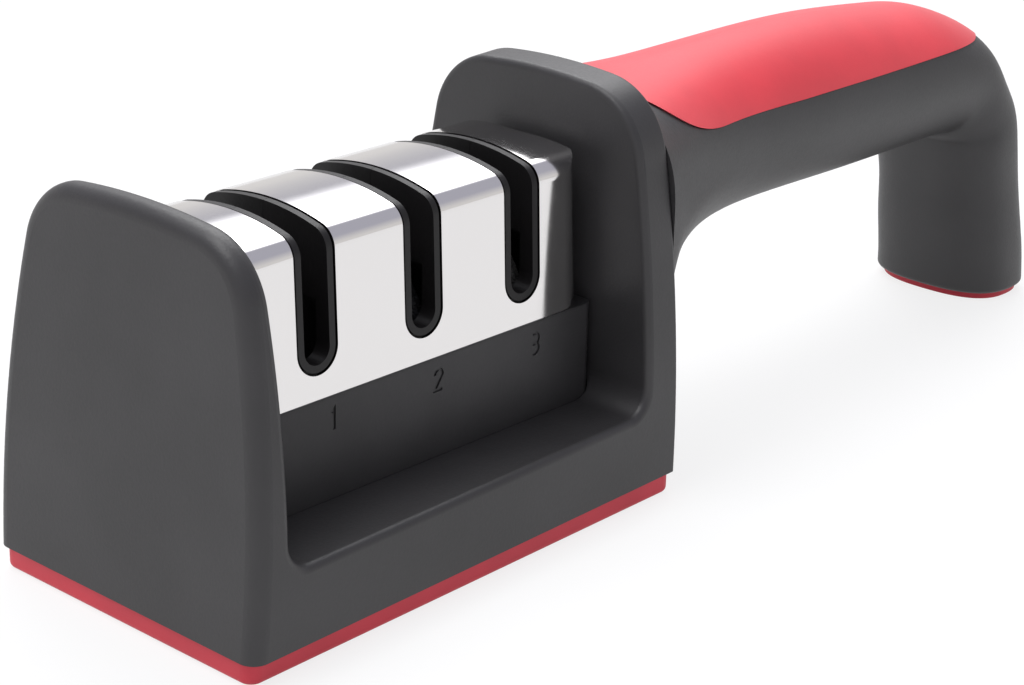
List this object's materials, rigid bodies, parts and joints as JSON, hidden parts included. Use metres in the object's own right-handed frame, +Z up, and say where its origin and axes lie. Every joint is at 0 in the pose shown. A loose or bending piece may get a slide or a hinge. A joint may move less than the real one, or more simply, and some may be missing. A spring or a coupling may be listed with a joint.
{
  "type": "pull through knife sharpener",
  "caption": "Manual pull through knife sharpener: slotted plated cartridge between two walls of a black body, arched handle with a red grip and a rear leg.",
  "frame": {"origin": "centre of the bounding box on the table plane", "axes": "+X along the body from the low wall to the handle's leg, +Y to the back, away from the side with the numbers, +Z up"},
  "size_m": [0.2049, 0.0522, 0.0614],
  "materials": {
    "body": "fine matte texture",
    "panel": "satin",
    "hard_black": "plain moulded",
    "bush_plastic": "plain moulded",
    "cover_plating": "mirror plated",
    "steel": "turned",
    "abrasive_dark": "abrasive coated",
    "abrasive_white": "fine grained ceramic",
    "red_grip": "soft satin",
    "red_rubber": "soft matte"
  },
  "bodies": {
    "sharpener": {"housing": "body", "base_plate": "hard_black", "base_pad": "red_rubber", "base_screws": "steel", "frame_front": "panel", "frame_rear": "panel", "frame_screws": "steel", "clamp_screws": "steel", "cover": "cover_plating", "rod_front": "abrasive_dark", "rod_rear": "abrasive_dark", "rod_holder": "hard_black", "stage2_bushes": "bush_plastic", "stage3_bushes": "bush_plastic", "handle": "body", "handle_screws": "steel", "grip_carrier": "hard_black", "grip": "red_grip", "leg_plug": "hard_black", "leg_screw": "steel", "foot_pad": "red_rubber"},
    "stage_2_rotor": {"stage2_axle": "steel", "stage2_wheel_near": "abrasive_dark", "stage2_wheel_far": "abrasive_dark"},
    "stage_3_rotor": {"stage3_axle": "steel", "stage3_wheel_near": "abrasive_white", "stage3_wheel_far": "abrasive_white"}
  },
  "joints": [
    {"name": "stage_2_spin", "type": "hinge", "parent": "sharpener", "child": "stage_2_rotor", "pos_m": [-0.059, 0, 0.031], "axis": [1, 0, 0], "continuous": true},
    {"name": "stage_3_spin", "type": "hinge", "parent": "sharpener", "child": "stage_3_rotor", "pos_m": [-0.0393, 0, 0.031], "axis": [1, 0, 0], "continuous": true}
  ]
}
